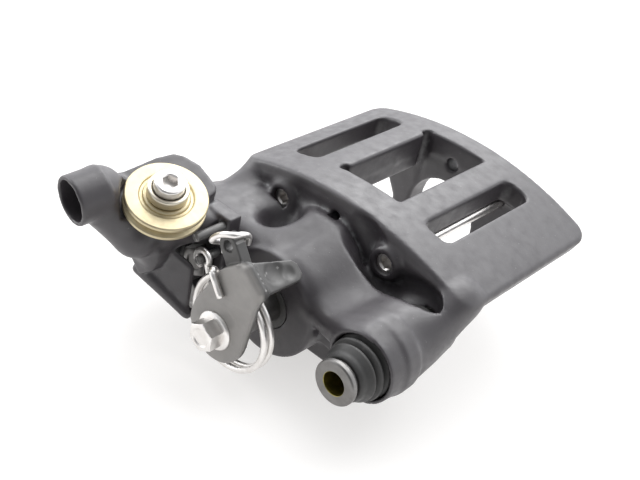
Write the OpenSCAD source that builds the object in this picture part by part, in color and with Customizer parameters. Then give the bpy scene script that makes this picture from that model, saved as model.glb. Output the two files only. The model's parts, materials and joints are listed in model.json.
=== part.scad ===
// Rear disc brake caliper of the sliding-fist type with a built-in handbrake.
// X runs along the disc's rim, Y is the piston axis and points outboard, Z points
// away from the disc's centre. The caliper stands on its two fingertips and on the
// foot of its cylinder, with the origin on the piston axis at floor height.

/* [Bridge] */
// Radius of the bridge's outer surface, about the disc axis
bridge_r = 172.5; // [150:0.5:190]
// Thickness of the bridge
bridge_t = 11; // [8:0.5:14]
// Height of the bridge's crown above the floor
bridge_top = 72; // [66:0.5:80]
// Angle from the crown to the bridge's left end
bridge_left_deg = 20.3; // [18:0.1:24]
// Angle from the crown to the bridge's right end
bridge_right_deg = 25.5; // [20:0.1:28]
// Inboard face of the housing wall
wall_in_y = -10; // [-14:0.5:-8]
// Disc side of the inboard leg
wall_out_y = 8; // [4:0.5:12]
// Disc side of the outboard leg
finger_in_y = 79; // [70:0.5:86]
// Outboard face of the outboard leg
finger_out_y = 93; // [84:0.5:100]

/* [Cylinder] */
// Height of the piston axis above the floor
axis_z = 30; // [28:0.5:36]
// Outer radius of the cylinder
cyl_r = 25.5; // [24:0.5:28]
// Front face of the cylinder
cyl_front_y = -48; // [-52:0.5:-44]
// Radius of the piston
piston_r = 19; // [17:0.5:21]
// Radius of the handbrake shaft
shaft_r = 8; // [7:0.5:9]

/* [Guide pins] */
// Distance of each guide pin from the piston axis
guide_x = 57; // [50:0.5:64]
// Height of the guide pins
guide_z = 37; // [33:0.5:41]
// Radius of the guide sleeves
sleeve_r = 8; // [7:0.5:9]
// Radius of the hole through a guide sleeve, for an M10 bolt
sleeve_bore_r = 5.25; // [5.1:0.05:5.5]
// Front face of the guide sleeves
sleeve_front_y = -70; // [-74:0.5:-66]
// Front face of the guide lugs
lug_front_y = -43; // [-46:0.5:-40]

/* [Pad pins] */
// Distance of each pad pin from the piston axis
pad_pin_x = 30.6; // [26:0.1:34]
// Height of the pad pins
pad_pin_z = 55; // [52:0.5:58]
// Radius of a pad pin's rod
pad_pin_r = 2.2; // [2:0.1:3]

/* [Handbrake] */
// Thickness of the lever's steel plate
lever_t = 4; // [3:0.5:5]
// Front face of the lever
lever_front_y = -78.5; // [-82:0.5:-76]
// Radius of the lever round its bolt
lever_r = 15; // [13:0.5:17]
// Wire radius of the return spring
spring_wire_r = 1.45; // [1:0.05:2]
// Mean radius of the return spring's coil
spring_r = 21.3; // [19:0.1:23]

/* [Cable pulley] */
// Radius of the pulley
pulley_r = 17.5; // [15:0.5:20]
// Width of the pulley
pulley_w = 7.5; // [6:0.5:10]
// Centre of the pulley's top face
pulley_at = [-36.9, -78.3, 75.9];
// Radius of the hole for the cable casing
socket_r = 9; // [7:0.5:10]

/* [Hidden] */
$fn = 64;
// Small gap of a running fit, on the radius
fit = 0.05;
// Length by which a cutting shape runs past a face
past = 1;
disc_z = bridge_top - bridge_r;
// The long window over the pads and the slot beside it on each side
window_half = 16.5;
window_y = [11.4, 78.5];
slot_x = [31.7, 45.8];
slot_y = [10, 77];
slot_corner_r = 5;
rib_x = 25;
rib_z = 52;
lug_r = 18;
lug_back_y = -14;
// Front of the hood over the right guide boot
hood_front_y = -54;
hood_bore_r = 14.8;
bush_r = 11.5;
cutout_r = 19.3;
port_z = 12;
port_y = -17.5;
bleed_y = -2;
foot_half = 24;
foot_top_z = 20;
// The chamber behind the piston and the groove of its seal
chamber_back_y = -36;
seal_y = [-3, 0];
seal_r = 21.5;
boot_seat_r = 22.5;
boot_seat_y = 4;
piston_back_y = -20.5;
// Groove of the ring that holds the spindle's spring
ring_y = [-22.4, -21.4];
ring_r = 20;
piston_front_y = 14;
bracket_bolt_at = [[-33, 38], [-33, 20]];
bracket_back_y = cyl_front_y;
bracket_face_y = bracket_back_y - 8;
pulley_tilt = [10, 17, 0];
casing_at = [-19, -33.5, -3.4];
casing_turn = -6;
spring_pin_at = [-25, 46];
stop_pin_at = [-24, 60];
// Direction of the lever's fold: its width runs down to the right at this angle
fold_deg = 36.9;

// A cylinder along Y
module y_rod(x, z, r, y0, y1) {
  translate([x, y0, z]) rotate([-90, 0, 0]) cylinder(r = r, h = y1 - y0);
}

// A flat shape drawn in X and Z, thick along Y
module y_plate(y0, y1) {
  translate([0, y1, 0]) rotate([90, 0, 0]) linear_extrude(height = y1 - y0) children();
}

// A turned shape about an axis along Y: its points are [radius, y]
module y_turned(x, z, points) {
  translate([x, 0, z]) rotate([-90, 0, 0]) rotate_extrude() polygon(points);
}

module box(low, high) {
  translate(low) cube([high[0] - low[0], high[1] - low[1], high[2] - low[2]]);
}

// A hexagonal bar along Y, size across its flats
module y_hex(x, z, across, y0, y1) {
  translate([x, y0, z]) rotate([-90, 0, 0]) cylinder(r = across / sqrt(3), h = y1 - y0, $fn = 6);
}

// A box with round corners of radius r, along Z
module round_slot(x0, x1, y0, y1, z0, z1, r) {
  box([x0 + r, y0, z0], [x1 - r, y1, z1]);
  box([x0, y0 + r, z0], [x1, y1 - r, z1]);
  for (x = [x0 + r, x1 - r]) {
    for (y = [y0 + r, y1 - r]) {
      translate([x, y, z0]) cylinder(r = r, h = z1 - z0, $fn = 32);
    }
  }
}

// The pulley's own frame: its top face's centre, with Z along its axis
module at_pulley() {
  translate(pulley_at) rotate(pulley_tilt) children();
}

// Everything within the bridge's outer surface and its two ends, in X and Z
module bridge_sector() {
  reach = 2 * bridge_r;
  intersection() {
    translate([0, disc_z]) circle(r = bridge_r, $fn = 256);
    polygon([[0, disc_z],
      [-reach * sin(bridge_left_deg), disc_z + reach * cos(bridge_left_deg)],
      [reach * sin(bridge_right_deg), disc_z + reach * cos(bridge_right_deg)]]);
  }
}

module bridge_shell() {
  y_plate(wall_in_y, finger_out_y) difference() {
    bridge_sector();
    translate([0, disc_z]) circle(r = bridge_r - bridge_t, $fn = 256);
  }
  for (side = [-1, 1]) {
    y_plate(wall_out_y - 2, finger_in_y + 2) intersection() {
      bridge_sector();
      translate([side * (window_half + rib_x) / 2 - (rib_x - window_half) / 2, rib_z])
        square([rib_x - window_half, bridge_top]);
    }
  }
}

module inboard_leg() {
  y_plate(wall_in_y, wall_out_y) intersection() {
    bridge_sector();
    polygon([[-60, 50], [-60, 70], [0, 75], [75, 70], [75, 50], [44, 50], [30, 34], [-30, 34], [-44, 50]]);
  }
  y_rod(0, axis_z, cyl_r, cyl_front_y, wall_out_y);
  box([-foot_half, port_y - 8.5, 0], [foot_half, wall_out_y - 4, foot_top_z]);
  for (side = [-1, 1]) {
    y_rod(side * pad_pin_x, pad_pin_z, 8.5, wall_in_y - 2.5, wall_in_y + 2);
  }
}

// A lug, its web to the cylinder and its wing up to the bridge's end
module guide_lug(side, end_x) {
  hull() {
    y_rod(side * guide_x, guide_z, lug_r, lug_front_y, lug_back_y, $fn = 48);
    y_rod(side * 24, axis_z + 9, 15, lug_front_y, lug_back_y, $fn = 48);
  }
  hull() {
    y_rod(side * guide_x, guide_z, lug_r, lug_front_y + 12, lug_back_y, $fn = 48);
    box([min(end_x), wall_in_y, 50], [max(end_x), wall_out_y - 2, 56]);
  }
}

// The right lug's tapered front, round the guide boot
module lug_hood() {
  y = hood_front_y;
  y_turned(guide_x, guide_z, [[0, y], [15.4, y], [16.2, y + 0.8], [lug_r, y + 24], [0, y + 24]]);
}

module outboard_leg() {
  y_plate(finger_in_y, finger_out_y) difference() {
    intersection() {
      union() {
        bridge_sector();
        translate([-45, 0]) square([90, 50]);
      }
      polygon([[-60, 70], [-56, 48], [-36, 36], [-30, 26], [-28, 3], [-25, 0], [-21, 0], [-cutout_r, 3],
        [-cutout_r, 40], [cutout_r, 40], [cutout_r, 3], [21, 0], [25, 0], [28, 3], [30, 26], [36, 36],
        [68, 48], [75, 70], [0, 75]]);
    }
    translate([0, axis_z]) circle(r = cutout_r);
  }
}

module window_cuts() {
  low = rib_z - 12;
  high = bridge_top + past;
  box([-window_half, window_y[0], low], [window_half, window_y[1], high]);
  for (y = [window_y[0] + 2, window_y[1] - 2]) {
    translate([-window_half, y, low]) cylinder(r = 2.8, h = high - low, $fn = 32);
  }
  for (side = [-1, 1]) {
    x0 = side > 0 ? slot_x[0] : -slot_x[1];
    round_slot(x0, x0 + slot_x[1] - slot_x[0], slot_y[0], slot_y[1], low, high, slot_corner_r);
  }
}

module housing_bores() {
  y_rod(0, axis_z, piston_r + fit, chamber_back_y, wall_out_y + past);
  y_rod(0, axis_z, shaft_r + fit, cyl_front_y - past, chamber_back_y + past);
  y_rod(0, axis_z, 11.5, cyl_front_y - past, cyl_front_y + 4);
  y_rod(0, axis_z, seal_r, seal_y[0], seal_y[1]);
  y_rod(0, axis_z, ring_r, ring_y[0], ring_y[1]);
  y_rod(0, axis_z, boot_seat_r, boot_seat_y, wall_out_y + past);
  for (side = [-1, 1]) {
    y_rod(side * guide_x, guide_z, bush_r, lug_front_y - past, wall_out_y + past);
    y_rod(side * pad_pin_x, pad_pin_z, 4.7, wall_in_y - 4, -2);
    y_rod(side * pad_pin_x, pad_pin_z, pad_pin_r + fit, -3, finger_out_y - 4);
  }
  y_rod(guide_x, guide_z, hood_bore_r, hood_front_y - past, lug_front_y);
  y_rod(0, 62, 2.4, wall_in_y - past, wall_out_y + past);
  y_rod(0, 60, 3.4, finger_in_y - past, finger_out_y + past);
  for (at = bracket_bolt_at) {
    y_rod(at[0], at[1], 4, cyl_front_y - past, cyl_front_y + 20);
  }
  for (y = [port_y, bleed_y]) {
    translate([-foot_half - 6, y, port_z]) rotate([0, 90, 0]) cylinder(r = y == port_y ? 4.75 : 3, h = 16);
    translate([-foot_half, y, port_z]) rotate([0, 90, 0]) cylinder(r = 1.5, h = foot_half - 5);
  }
}

module caliper_housing() {
  color("#3a393b") difference() {
    union() {
      bridge_shell();
      inboard_leg();
      guide_lug(1, [60, 72]);
      guide_lug(-1, [-58, -46]);
      lug_hood();
      outboard_leg();
      for (at = bracket_bolt_at) {
        y_rod(at[0], at[1], 7.5, cyl_front_y, cyl_front_y + 24);
      }
      translate([-foot_half - 4, port_y, port_z]) rotate([0, 90, 0]) cylinder(r = 7.5, h = 8);
      translate([-foot_half - 2, bleed_y, port_z]) rotate([0, 90, 0]) cylinder(r = 6, h = 6);
    }
    window_cuts();
    housing_bores();
  }
}

module pad_pin(side) {
  color("#a9a893") difference() {
    union() {
      y_rod(side * pad_pin_x, pad_pin_z, 4.65, wall_in_y - 1, -2);
      y_rod(side * pad_pin_x, pad_pin_z, pad_pin_r, -3, finger_out_y - 5);
    }
    y_hex(side * pad_pin_x, pad_pin_z, 5, wall_in_y - 2, wall_in_y + 4);
  }
}

module pad_pin_left() {
  pad_pin(-1);
}

module pad_pin_right() {
  pad_pin(1);
}

module piston() {
  color("#9a9b9e") difference() {
    y_turned(0, axis_z, [[0, 9], [14, 9], [14, piston_back_y], [piston_r, piston_back_y], [piston_r, 10],
      [piston_r - 1.4, 10], [piston_r - 1.4, 12], [piston_r, 12], [piston_r, piston_front_y - 0.6],
      [piston_r - 0.6, piston_front_y], [0, piston_front_y]]);
    for (turn = [0, 90]) {
      translate([0, piston_front_y - 2.5, axis_z]) rotate([0, turn, 0]) box([9, 0, -2.5], [20, 4, 2.5]);
      translate([0, piston_front_y - 2.5, axis_z]) rotate([0, turn, 0]) box([-20, 0, -2.5], [-9, 4, 2.5]);
    }
  }
}

module piston_seal() {
  color("#202020") y_turned(0, axis_z, [[piston_r + fit, seal_y[0] + 0.1], [seal_r - 0.1, seal_y[0] + 0.1],
    [seal_r - 0.1, seal_y[1] - 0.1], [piston_r + fit, seal_y[1] - 0.1]]);
}

module piston_dust_boot() {
  color("#1c1c1d") y_turned(0, axis_z, [[20.2, 4.1], [22.4, 4.1], [22.4, 7.6], [21.6, 9.6], [20.4, 10.2],
    [19.5, 12], [17.8, 12], [17.8, 10.2], [19.3, 10.2], [19.3, 8.8], [20.2, 7.4]]);
}

module adjuster_nut() {
  color("#8f8c80") y_turned(0, axis_z, [[5 + fit, -12], [8, -12], [8, -3], [11.5, -1], [11.5, 3], [9, 5.5], [5 + fit, 5.5]]);
}

module thrust_spindle() {
  color("#8b8c90") difference() {
    union() {
      y_rod(0, axis_z, 15, -28, -25);
      y_rod(0, axis_z, 5, -26, 3);
    }
    for (turn = [0, 120, 240]) {
      translate([0, -29.2, axis_z]) rotate([0, turn, 0]) translate([10.5, 0, 0]) sphere(r = 2.55, $fn = 32);
    }
  }
}

module ramp_balls() {
  color("#c9cace") for (turn = [0, 120, 240]) {
    translate([0, -29.2, axis_z]) rotate([0, turn, 0]) translate([10.5, 0, 0]) sphere(r = 2.5, $fn = 32);
  }
}

module spindle_spring() {
  color("#7d7f84") y_turned(0, axis_z, [[9.6, -24.9], [10.4, -24.9], [16.2, -23.2], [16.2, -22.5], [15.4, -22.5], [9.6, -24.3]]);
}

module spring_retainer() {
  color("#8a8c90") y_turned(0, axis_z, [[12.5, ring_y[0]], [ring_r - fit, ring_y[0]], [ring_r - fit, ring_y[1]],
    [12.5, ring_y[1]]]);
}

module lever_shaft() {
  color("#8d8e92") difference() {
    union() {
      y_rod(0, axis_z, shaft_r, lever_front_y + lever_t, -33);
      y_rod(0, axis_z, 15, -34, -30.4);
    }
    y_rod(0, axis_z, 4, lever_front_y + lever_t - past, -56);
    translate([0, -29.2, axis_z]) rotate([-90, 0, 0]) rotate_extrude() translate([10.5, 0]) circle(r = 2.55, $fn = 32);
  }
}

module shaft_seal() {
  color("#1f1f20") y_turned(0, axis_z, [[shaft_r + fit, cyl_front_y + 0.3], [11.4, cyl_front_y + 0.3],
    [11.4, cyl_front_y + 3.9], [shaft_r + fit, cyl_front_y + 3.9]]);
}

// Outline of the lever's front plate, about the shaft
module lever_outline() {
  circle(r = lever_r);
  polygon([[-lever_r, 0], [-13.8, 7], [-2.5, 29.5], [0, 32], [7.6, 38], [10, 37.5], [20.5, 29.6], [18.2, 21.5], [lever_r, 0]]);
}

module handbrake_lever() {
  back_y = lever_front_y + lever_t;
  color("#454446") difference() {
    union() {
      translate([0, 0, axis_z]) y_plate(lever_front_y, back_y) lever_outline();
      // The fold that runs outboard over the cylinder
      translate([0, 0, axis_z]) rotate([0, fold_deg, 0]) translate([0, 0, 31.2])
        linear_extrude(height = 4) polygon([[-16, lever_front_y], [-1.2, lever_front_y], [-0.6, -54.5],
          [-2.6, -52], [-7.6, -52], [-10, -54], [-16, back_y - 1]]);
      // The cable arm
      translate([6, 0, 56]) rotate([0, -35.2, 0]) y_plate(back_y - 0.5, back_y + 5) {
        translate([-5, 1.5]) square([10, 14.5]);
        translate([0, 16]) circle(r = 5);
      }
    }
    y_rod(0, axis_z, 4.2, lever_front_y - past, back_y + past);
    translate([6, 0, 56]) rotate([0, -35.2, 0]) y_rod(0, 16, 2.5, back_y - 1, back_y + 6);
    // The pressed pocket in the fold
    translate([0, 0, axis_z]) rotate([0, fold_deg, 0]) box([-9, -67, 34.2], [-3, -56, 40]);
  }
}

module lever_bolt() {
  color("#c3c4bd") {
    difference() {
      union() {
        y_turned(0, axis_z, [[0, lever_front_y - 1], [6, lever_front_y - 1.9], [8.4, lever_front_y - 1.2],
          [8.9, lever_front_y - 0.6], [8.9, lever_front_y], [3.95, lever_front_y], [3.95, -57.5], [3.4, -57],
          [0, -57]]);
        y_hex(0, axis_z, 12, lever_front_y - 8.6, lever_front_y - 1);
      }
      y_turned(0, axis_z, [[0, lever_front_y - 9], [4.6, lever_front_y - 9], [4.6, lever_front_y - 8], [0, lever_front_y - 8]]);
    }
  }
}

// A bent wire through a list of points
module wire(points, r) {
  for (i = [0 : len(points) - 2]) {
    hull() {
      translate(points[i]) sphere(r = r, $fn = 8);
      translate(points[i + 1]) sphere(r = r, $fn = 8);
    }
  }
}

function on_coil(angle, y) = [spring_r * sin(angle), y, axis_z + spring_r * cos(angle)];

module return_spring() {
  // Angles from the top of the coil, clockwise as seen from the front
  first = -18;
  last = 672;
  step = 15;
  turns = [for (a = [first : step : last]) on_coil(a, -72.6 + 7.6 * (a - first) / (last - first))];
  tail = [[1.6, -80.05, 48.5], [-1.4, -80.05, 52.5], [-4.6, -80.1, 57.2], [-7.9, -76.5, 55.8], [-8.6, -73, 52.2]];
  // The eye round its pin on the bracket
  eye = [for (a = [-30 : 30 : 270]) [spring_pin_at[0] + 3.7 * cos(a), -64.6, spring_pin_at[1] + 3.7 * sin(a)]];
  color("#b9bab4") union() {
    wire(concat(tail, turns, eye), spring_wire_r);
  }
}

module cable_clip() {
  color("#b9bab4") wire([[-11.6, -67, 58], [-12.2, -68, 63], [-11.4, -75.6, 67.4], [-8.6, -76.6, 71.6],
    [-4.4, -76.6, 74.8], [-0.4, -75, 76], [0.6, -71.6, 75.6], [0.2, -67.4, 73], [0, -67, 69]], 1.3);
}

module bracket_plate() {
  at_pulley() translate([0, 0, -20]) linear_extrude(height = 11.6)
    polygon([[-25, -14], [-24, 2], [-23.5, 14], [-21.5, 22], [-18, 25.2], [-11, 28], [-4, 27.6], [2, 27], [4.2, 25],
      [6.5, 16], [9, 0], [6, -9], [-8, -16], [-18, -20]]);
}

module casing_tube(r, from, to) {
  at_pulley() translate(casing_at) rotate([90, 0, casing_turn]) translate([0, 0, from])
    cylinder(r = r, h = to - from);
}

// A round end of a cast web, in the pulley's frame
module knob(at, r) {
  at_pulley() translate(at) sphere(r = r, $fn = 32);
}

module cable_bracket() {
  color("#3d3c3f") difference() {
    union() {
      bracket_plate();
      at_pulley() translate([0, 0, -29]) cylinder(r = 9.5, h = 20.6);
      casing_tube(10.75, -15, 0);
      // Neck from the casing's tube to the plate
      hull() {
        knob([-18, -20, -5], 9.5);
        knob([-22, -9, -14], 6);
        knob([-9, -8, -15], 6.5);
      }
      // Web from the neck down to the block
      hull() {
        knob([-17, -22, -7], 8);
        knob([-9, -13, -19], 8);
        knob([-2, -10, -23], 8.5);
      }
      // Column from the boss back to the foot
      hull() {
        knob([0, 1, -22], 8.5);
        box([-40, bracket_face_y, 50], [-23.2, bracket_back_y, 63]);
      }
      // Block in front of the left guide sleeve
      hull() {
        knob([-2, -10, -23], 8.5);
        knob([-2, -2, -23], 8.5);
        y_plate(-82, -73) polygon([[-54.6, 41.2], [-45, 32], [-38, 38], [-35, 50], [-50, 50]]);
      }
      y_plate(bracket_face_y, bracket_back_y)
        polygon([[-41, 12], [-25.8, 12], [-25.8, 30], [-21, 40], [-21, 64], [-36, 64], [-41, 58]]);
      // Strap from the block past the guide sleeve to the foot
      hull() {
        box([-51, -81, 30], [-43, -74, 34]);
        box([-28, -72, 17.5], [-22.6, -69, 20.7]);
      }
      box([-28, -72, 17.5], [-22.6, bracket_back_y - 2, 20.7]);
    }
    casing_tube(socket_r, -12, past);
    casing_tube(7.4, -13.5, -11);
    casing_tube(3, -60, -12);
    at_pulley() translate([0, 0, -28]) cylinder(r = 4.05, h = 28);
    // Room for the pulley's rim where the neck rises beside it
    at_pulley() translate([0, 0, -8.4]) cylinder(r = pulley_r + 1.5, h = 20);
    // Room for the left guide sleeve and its boot
    y_rod(-guide_x, guide_z, 11.5, -71.2, bracket_back_y + past);
    y_rod(-guide_x, guide_z, 15.5, -66, bracket_back_y + past);
    for (at = bracket_bolt_at) {
      y_rod(at[0], at[1], 4.2, bracket_face_y - past, bracket_back_y + past);
      y_rod(at[0], at[1], 8, -67.9, bracket_face_y);
    }
    y_rod(spring_pin_at[0], spring_pin_at[1], 2, bracket_face_y - past, bracket_back_y - 1);
    y_rod(stop_pin_at[0], stop_pin_at[1], 2, bracket_face_y - past, bracket_back_y - 1);
    y_rod(stop_pin_at[0], stop_pin_at[1], 3.2, -76, bracket_face_y);
  }
}

module bracket_bolts() {
  color("#55565a") for (at = bracket_bolt_at) {
    y_hex(at[0], at[1], 13, bracket_face_y - 5.5, bracket_face_y);
    y_rod(at[0], at[1], 3.95, bracket_face_y - 1, cyl_front_y + 16);
  }
}

module spring_pin() {
  color("#b4b5ae") y_rod(spring_pin_at[0], spring_pin_at[1], 1.95, -68, bracket_back_y - 1.5);
}

module stop_pin() {
  color("#b4b5ae") y_rod(stop_pin_at[0], stop_pin_at[1], 1.95, -72, bracket_back_y - 1.5);
}

module pulley() {
  w = pulley_w;
  color("#a39563") at_pulley() rotate_extrude() polygon([[7 + fit, -w], [pulley_r - 0.6, -w], [pulley_r, -w + 0.6],
    [pulley_r, -w + 2.2], [pulley_r - 2.8, -w + 3.4], [pulley_r - 2.8, -w + 5], [pulley_r, -w + 6],
    [pulley_r, -0.6], [pulley_r - 0.6, 0], [11.5, 0], [11, -0.9], [9.9, -0.9], [9.5, 0], [9, 0.4], [7 + fit, 0.4]]);
}

module pulley_bush() {
  color("#8d8a7e") at_pulley() rotate_extrude() polygon([[4.05, -8.4], [7, -8.4], [7, 0.7], [4.05, 0.7]]);
}

module pulley_washer() {
  color("#b5ad8c") at_pulley() rotate_extrude() polygon([[4.05, 0.7], [8.1, 0.7], [8.7, 1.3], [8.7, 5.1], [8.2, 5.6],
    [7.2, 5.6], [6.8, 3.6], [4.05, 3.6]]);
}

module pulley_screw() {
  color("#cfcfc9") at_pulley() difference() {
    union() {
      translate([0, 0, 3.6]) cylinder(r = 6.5, h = 5.4);
      translate([0, 0, 9]) cylinder(r1 = 6.5, r2 = 5.9, h = 0.6);
      translate([0, 0, -26]) cylinder(r = 4, h = 30);
    }
    translate([0, 0, 5.6]) cylinder(r = 6 / sqrt(3), h = 5, $fn = 6);
  }
}

module guide_sleeve(side) {
  y = sleeve_front_y;
  color("#8f8f8a") y_turned(side * guide_x, guide_z, [[sleeve_bore_r, y], [9.4, y], [10, y + 0.6], [10, y + 2.6],
    [8.8, y + 3], [8.8, y + 4.6], [sleeve_r, y + 4.6], [sleeve_r, -4.6], [sleeve_r - 0.6, -4], [sleeve_bore_r, -4]]);
}

module guide_sleeve_left() {
  guide_sleeve(-1);
}

module guide_sleeve_right() {
  guide_sleeve(1);
}

module guide_bush(side) {
  color("#1e1e1f") y_turned(side * guide_x, guide_z, [[sleeve_r + fit, lug_front_y], [bush_r - fit, lug_front_y],
    [bush_r - fit, lug_back_y + 1], [sleeve_r + fit, lug_back_y + 1]]);
}

module guide_bush_left() {
  guide_bush(-1);
}

module guide_bush_right() {
  guide_bush(1);
}

module guide_boot(side) {
  y = lug_front_y;
  color("#232224") y_turned(side * guide_x, guide_z, [[8.3, y - 22.3], [10.2, y - 22.3], [11, y - 20.5], [12.6, y - 16.8],
    [12.6, y - 15.8], [10.9, y - 15], [13.5, y - 13.9], [13.8, y - 13], [13.5, y - 12.1], [10.9, y - 10.8],
    [14.1, y - 9.4], [14.4, y - 7.6], [14.4, y], [9.6, y], [9.6, y - 3], [8.3, y - 5]]);
}

module guide_boot_left() {
  guide_boot(-1);
}

module guide_boot_right() {
  guide_boot(1);
}

module bleed_screw() {
  x = -foot_half - 2;
  color("#b4b5ae") translate([x, bleed_y, port_z]) rotate([0, -90, 0]) difference() {
    union() {
      translate([0, 0, -9]) cylinder(r = 2.9, h = 10);
      translate([0, 0, 0.5]) cylinder(r = 9 / sqrt(3), h = 5, $fn = 6);
      translate([0, 0, 5]) cylinder(r = 3, h = 7);
    }
    translate([0, 0, 2]) cylinder(r = 1, h = 12);
  }
}

module bleed_cap() {
  x = -foot_half - 2;
  color("#1d1d1e") translate([x, bleed_y, port_z]) rotate([0, -90, 0]) difference() {
    translate([0, 0, 6]) cylinder(r = 4.6, h = 8);
    translate([0, 0, 5]) cylinder(r = 3 + fit, h = 7.2);
  }
}

caliper_housing();
pad_pin_left();
pad_pin_right();
piston();
piston_seal();
piston_dust_boot();
adjuster_nut();
thrust_spindle();
ramp_balls();
spindle_spring();
spring_retainer();
lever_shaft();
shaft_seal();
handbrake_lever();
lever_bolt();
return_spring();
cable_clip();
cable_bracket();
bracket_bolts();
spring_pin();
stop_pin();
pulley();
pulley_bush();
pulley_washer();
pulley_screw();
guide_sleeve_left();
guide_sleeve_right();
guide_bush_left();
guide_bush_right();
guide_boot_left();
guide_boot_right();
bleed_screw();
bleed_cap();
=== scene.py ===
"""Looks of a sliding-fist rear brake caliper with a handbrake lever and a cable pulley.

The castings are built as fields of distances, whose zero surface is turned into a mesh, so that
their masses flow into each other as cast iron does. Shapes are in millimetres until they become
meshes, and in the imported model's frame: X along the disc's rim, Y outboard, Z up.
"""

import itertools
import json
import math

import bmesh
import bpy
import numpy as np
from mathutils import Matrix, Vector


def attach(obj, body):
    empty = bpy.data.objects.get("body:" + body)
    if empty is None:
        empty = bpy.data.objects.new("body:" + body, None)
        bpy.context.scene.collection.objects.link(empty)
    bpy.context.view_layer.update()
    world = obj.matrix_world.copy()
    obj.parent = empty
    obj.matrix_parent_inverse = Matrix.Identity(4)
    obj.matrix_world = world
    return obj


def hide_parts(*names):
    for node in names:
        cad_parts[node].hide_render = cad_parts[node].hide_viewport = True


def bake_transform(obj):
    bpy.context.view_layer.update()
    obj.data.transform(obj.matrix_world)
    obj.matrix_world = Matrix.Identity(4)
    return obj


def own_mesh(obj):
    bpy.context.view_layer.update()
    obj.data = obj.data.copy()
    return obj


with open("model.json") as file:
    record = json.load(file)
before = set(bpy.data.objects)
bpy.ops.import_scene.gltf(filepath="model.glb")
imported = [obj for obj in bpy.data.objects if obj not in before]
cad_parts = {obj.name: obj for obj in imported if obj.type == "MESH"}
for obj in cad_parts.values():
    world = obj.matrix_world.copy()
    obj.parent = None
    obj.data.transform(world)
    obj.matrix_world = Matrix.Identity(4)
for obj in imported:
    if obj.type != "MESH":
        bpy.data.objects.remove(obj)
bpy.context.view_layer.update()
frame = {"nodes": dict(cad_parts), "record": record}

MM = 0.001

# ---------------------------------------------------------------- the caliper's main sizes, in mm
# Places are (X, Z) unless a comment says otherwise, and (low, high) where a name ends in _Y.
BRIDGE_R = 172.5
BRIDGE_T = 11
DISC_Z = -100.5
BRIDGE_LEFT = math.radians(20.3)
BRIDGE_RIGHT = math.radians(25.5)
RIGHT_END = 74.5
WALL_Y = (-10, 8)
FINGER_Y = (79, 92.2)
AXIS_Z = 30
CYLINDER_R = 25.5
CYLINDER_FRONT = -48
GUIDE = (57, 37)  # the right one: the left one mirrors it
LUG_R = 18
LUG_FRONT = -43
LUG_BACK = -14
BUSH_R = 11.5
PAD_PIN = (30.6, 55)  # the right one
LONG_WINDOW = ((-16.5, 16.5), (11.4, 78.5))  # in X and Y
SLOT = ((31.7, 45.8), (10, 77))  # the right one, in X and Y
FINGER_GAP_R = 19.3
FOOT_HALF = 24
PORT = (-17.5, 12)  # Y and Z, in the foot's left side
BLEED = (-2, 12)  # Y and Z, in the foot's left side
BRACKET_Y = (-56, -48)
BRACKET_BOLTS = ((-33, 38), (-33, 20))
SPRING_PIN = (-25, 46)
STOP_PIN = (-24, 60)
LEVER_Y = (-78.5, -74.5)
FOLD_TURN = math.radians(36.9)
ARM_AT = (6, 56)
ARM_TURN = math.radians(-35.2)
PULLEY_AT = (-36.9, -78.3, 75.9)  # the middle of its top face
PULLEY_TILT = (10, 17)  # degrees about X, then about Y
CASING_AT = (-19, -33.5, -3.4)  # in the pulley's own frame
CASING_TURN = -6


# ---------------------------------------------------------------- distances to simple solids
def corner(a, b, e):
    """Distance to the part that two solids share, with its edge rounded to radius e."""
    a, b = a + e, b + e
    return np.minimum(np.maximum(a, b), 0) + np.hypot(np.maximum(a, 0), np.maximum(b, 0)) - e


def melt(a, b, k):
    """Distance to both solids together, with a fillet about k wide where they meet."""
    h = np.maximum(k - np.abs(a - b), 0) / k
    return np.minimum(a, b) - h * h * k / 4


def drum(x, z, r, y0, y1, r1=None, e=0.8):
    """A bar along Y, its radius r at y0 and r1 at y1."""
    r1 = r if r1 is None else r1
    big = max(r, r1)

    def dist(px, py, pz):
        here = r + (r1 - r) * np.clip((py - y0) / (y1 - y0), 0, 1)
        return corner(np.hypot(px - x, pz - z) - here, np.abs(py - (y0 + y1) / 2) - (y1 - y0) / 2, e)

    return (x - big, y0, z - big), (x + big, y1, z + big), dist


def bar_x(y, z, r, x0, x1, e=0.8):
    """A bar along X."""

    def dist(px, py, pz):
        return corner(np.hypot(py - y, pz - z) - r, np.abs(px - (x0 + x1) / 2) - (x1 - x0) / 2, e)

    return (x0, y - r, z - r), (x1, y + r, z + r), dist


def block(low, high, e=1.5):
    """A box with rounded edges."""
    centre = [(a + b) / 2 for a, b in zip(low, high)]
    half = [(b - a) / 2 for a, b in zip(low, high)]

    def dist(px, py, pz):
        flat = corner(np.abs(px - centre[0]) - half[0], np.abs(py - centre[1]) - half[1], e)
        return corner(flat, np.abs(pz - centre[2]) - half[2], e)

    return low, high, dist


def taper(a, b, ra, rb):
    """A round-ended bar from a to b, its radius ra at a and rb at b."""
    a, b = np.array(a, float), np.array(b, float)
    run = b - a

    def dist(px, py, pz):
        t = ((px - a[0]) * run[0] + (py - a[1]) * run[1] + (pz - a[2]) * run[2]) / max(run @ run, 1e-9)
        t = np.clip(t, 0, 1)
        offsets = (px - a[0] - t * run[0], py - a[1] - t * run[1], pz - a[2] - t * run[2])
        return np.sqrt(sum(v ** 2 for v in offsets)) - (ra + (rb - ra) * t)

    big = max(ra, rb)
    return np.minimum(a, b) - big, np.maximum(a, b) + big, dist


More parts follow.
